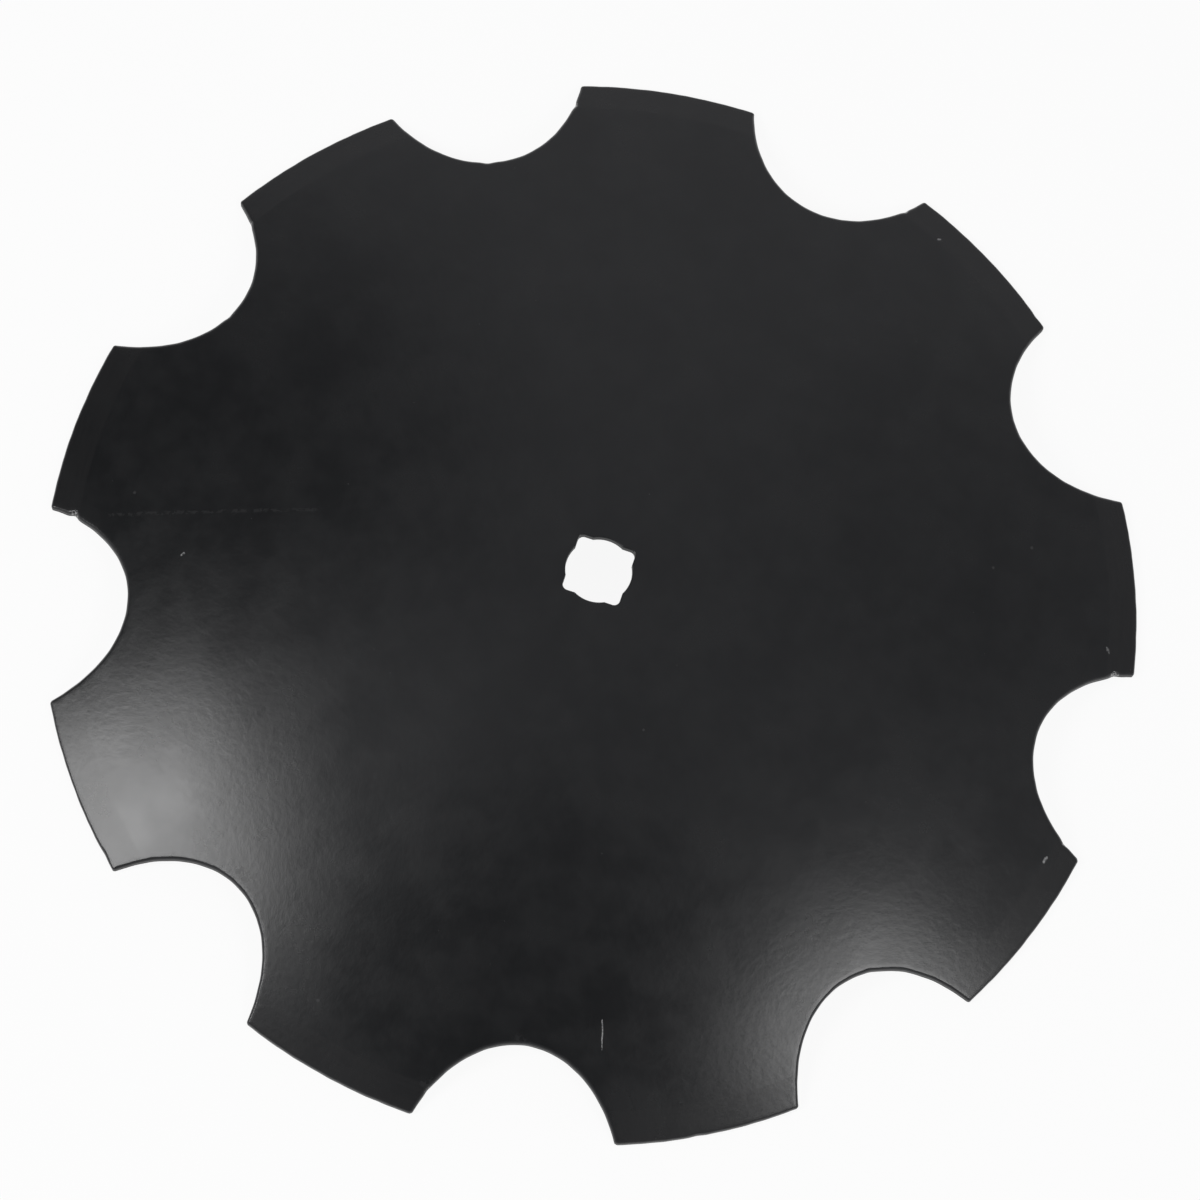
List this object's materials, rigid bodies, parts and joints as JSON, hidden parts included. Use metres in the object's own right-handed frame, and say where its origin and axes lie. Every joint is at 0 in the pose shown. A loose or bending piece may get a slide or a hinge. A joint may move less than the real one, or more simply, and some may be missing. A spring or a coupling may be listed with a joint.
{
  "type": "notched harrow disc blade",
  "caption": "Dished round blade for a disc harrow, with a notched and bevelled cutting edge and a central hole for a square or round axle.",
  "frame": {"origin": "centre of the axle hole, half way through the plate", "axes": "+Z leaves the convex face along the axle, +X runs through the middle of one notch and square to one flat of the axle hole"},
  "size_m": [0.5038, 0.508, 0.0483],
  "materials": {
    "black_paint": "thin semi-gloss black paint on dished spring steel, darker and rougher on the sheared walls"
  },
  "bodies": {
    "root": {"disc_blade": "black_paint"}
  },
  "joints": []
}
